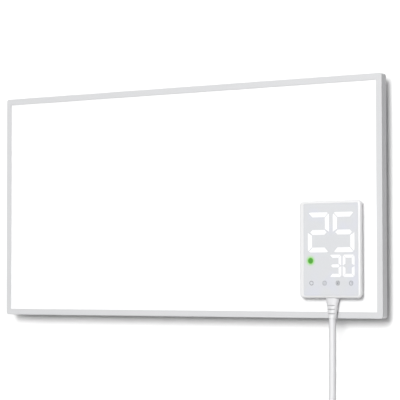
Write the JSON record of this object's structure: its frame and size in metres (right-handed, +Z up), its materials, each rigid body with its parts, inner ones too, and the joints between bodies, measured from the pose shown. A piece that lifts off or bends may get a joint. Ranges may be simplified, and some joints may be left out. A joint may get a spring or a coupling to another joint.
{
  "type": "infrared panel heater",
  "caption": "Slim framed infrared heating panel on hook-in wall brackets, with a digital control unit on its front and a mains lead with a plug.",
  "frame": {"origin": "middle of the four wall screw holes, on the wall plane at the back of the wall brackets", "axes": "+X to the right seen from the front, along the panel's long side; +Y into the wall, so the heated front faces -Y; +Z up"},
  "size_m": [0.6, 0.0477, 0.6218],
  "materials": {
    "bracket_coat": "white powder coat",
    "frame_aluminium": "light grey satin coat",
    "raw_aluminium": "mill finish",
    "front_enamel": "white satin coat",
    "board_laminate": "glass fibre laminate",
    "carbon_track": "matt carbon print",
    "amber_film": "amber polyimide",
    "mineral_felt": "pale mineral fibre",
    "bright_foil": "bright foil",
    "galvanised_steel": "galvanised",
    "box_plastic": "fine texture",
    "zinc_steel": "bright zinc",
    "circuit_green": "solder mask",
    "relay_plastic": "glossy",
    "black_plastic": "fine texture",
    "fuse_glass": "glazed tube with plated caps",
    "capacitor_plastic": "yellow case",
    "terminal_plastic": "green block",
    "unit_plastic": "white satin",
    "black_rubber": "matt",
    "brown_wire": "insulation",
    "blue_wire": "insulation",
    "earth_wire": "green and yellow insulation",
    "white_silicone": "silicone insulation",
    "module_plastic": "white reflector",
    "green_light": "lit green",
    "touch_foam": "conductive foam",
    "sensor_epoxy": "dipped bead",
    "display_tint": "pale grey, glossy",
    "lit_white": "lit white",
    "icon_ink": "grey print",
    "lead_plastic": "soft white",
    "tie_strap": "pale woven strap",
    "nickel_brass": "nickel plated"
  },
  "bodies": {
    "wall_mount": {"wall_bracket_left": "bracket_coat", "wall_bracket_right": "bracket_coat"},
    "heater": {"frame_top": "frame_aluminium", "frame_bottom": "frame_aluminium", "frame_left": "frame_aluminium", "frame_right": "frame_aluminium", "corner_keys": "raw_aluminium", "front_plate": "front_enamel", "heating_board": "board_laminate", "heating_track": "carbon_track", "insulation_film": "amber_film", "insulation_pad": "mineral_felt", "reflector_foil": "bright_foil", "back_cover": "galvanised_steel", "hanger_top_left": "galvanised_steel", "hanger_top_right": "galvanised_steel", "hanger_bottom_left": "galvanised_steel", "hanger_bottom_right": "galvanised_steel", "blind_rivets": "raw_aluminium", "junction_box": "box_plastic", "junction_lid": "box_plastic", "case_screws": "zinc_steel", "power_board": "circuit_green", "relay": "relay_plastic", "supply_module": "black_plastic", "fuse": "fuse_glass", "filter_capacitor": "capacitor_plastic", "mains_terminal": "terminal_plastic", "heater_terminal": "terminal_plastic", "thermal_cutout": "black_plastic", "earth_terminal": "zinc_steel", "feed_through": "unit_plastic", "lead_grommet": "black_rubber", "live_core": "brown_wire", "neutral_core": "blue_wire", "earth_core": "earth_wire", "heater_leads": "white_silicone", "control_lead": "white_silicone", "control_base": "unit_plastic", "base_nuts": "zinc_steel", "display_board": "circuit_green", "large_digit_module": "module_plastic", "small_digit_module": "module_plastic", "status_led": "green_light", "touch_pads": "touch_foam", "room_sensor": "sensor_epoxy", "strain_relief": "lead_plastic", "mains_cord": "lead_plastic", "cord_coil": "lead_plastic", "cord_tie": "tie_strap", "cord_tail": "lead_plastic", "plug_body": "lead_plastic", "plug_pins": "nickel_brass", "plug_earth_contacts": "nickel_brass"},
    "control_cover": {"control_cover": "unit_plastic", "display_lens": "display_tint", "lit_segments": "lit_white", "dark_segments": "display_tint", "status_window": "green_light", "touch_icons": "icon_ink"}
  },
  "joints": [
    {"name": "heater_lift", "type": "slide", "parent": "wall_mount", "child": "heater", "axis": [0, 0, 1], "range_m": [0, 0.013]},
    {"name": "control_cover_pull", "type": "slide", "parent": "heater", "child": "control_cover", "axis": [0, -1, 0], "range_m": [0, 0.01]}
  ]
}
